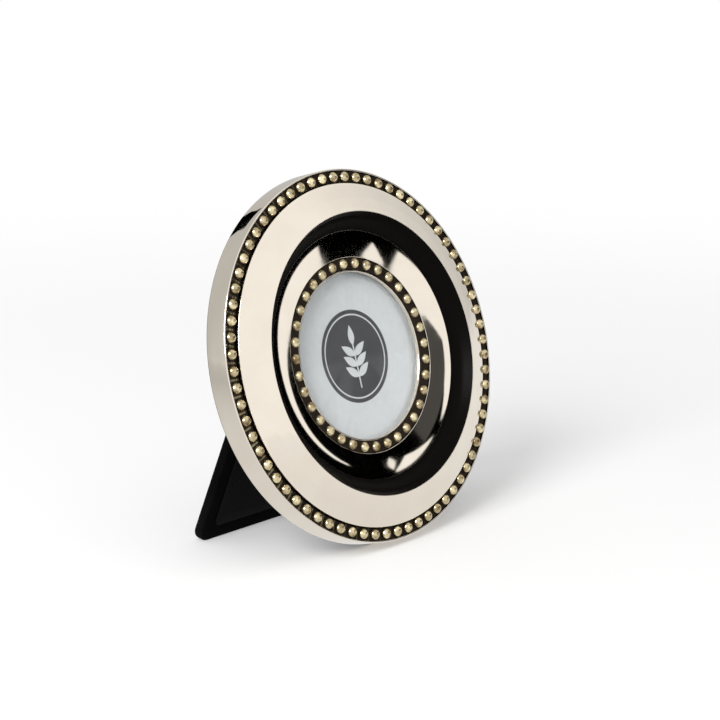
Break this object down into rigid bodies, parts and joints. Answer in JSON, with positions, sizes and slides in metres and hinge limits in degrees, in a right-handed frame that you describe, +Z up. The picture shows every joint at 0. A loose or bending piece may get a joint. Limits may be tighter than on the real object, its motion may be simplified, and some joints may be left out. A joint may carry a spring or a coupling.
{
  "type": "beaded round photo frame",
  "caption": "Round polished metal photo frame with beaded wire borders around the rim and window, a dished mount, glass, and a velvet back with a hinged easel leg.",
  "frame": {"origin": "on the table under the middle of the standing frame's box", "axes": "+X to the viewer's right along the frame's width, +Y from the front of the frame to its leg, +Z up; the frame leans back about the X direction"},
  "size_m": [0.0846, 0.038, 0.0826],
  "materials": {
    "nickel": "pressed brass with polished warm nickel plate, mirror bright",
    "bead_wire": "nickel-plated beaded wire, polished on the beads and antiqued dark between them",
    "glass": "clear flat picture glass with ground edge",
    "print": "pale blue-grey printed insert with a charcoal leaf medallion, matt",
    "grey_board": "raw grey board",
    "velvet": "black short-pile velvet",
    "lining": "black lining paper, matt",
    "steel": "nickel-plated stamped steel"
  },
  "bodies": {
    "frame": {"front_shell": "nickel", "outer_bead_wire": "bead_wire", "inner_bead_wire": "bead_wire", "glass_pane": "glass", "photo_insert": "print"},
    "back": {"back_board": "grey_board", "back_velvet": "velvet", "back_lining": "lining", "hinge_board_leaf": "steel", "hinge_pin": "steel", "board_rivet_left": "steel", "board_rivet_right": "steel"},
    "leg": {"leg_board": "grey_board", "leg_velvet": "velvet", "leg_lining": "lining", "hinge_leg_leaf": "steel", "leg_rivet_left": "steel", "leg_rivet_right": "steel"}
  },
  "joints": [
    {"name": "back_slide", "type": "slide", "parent": "frame", "child": "back", "axis": [0, 0.9589, -0.2838], "range_m": [0, 0.02]},
    {"name": "leg_fold", "type": "hinge", "parent": "back", "child": "leg", "pos_m": [0, 0.0074, 0.06099], "axis": [-1, 0, 0], "range_deg": [0, 25.4]}
  ]
}
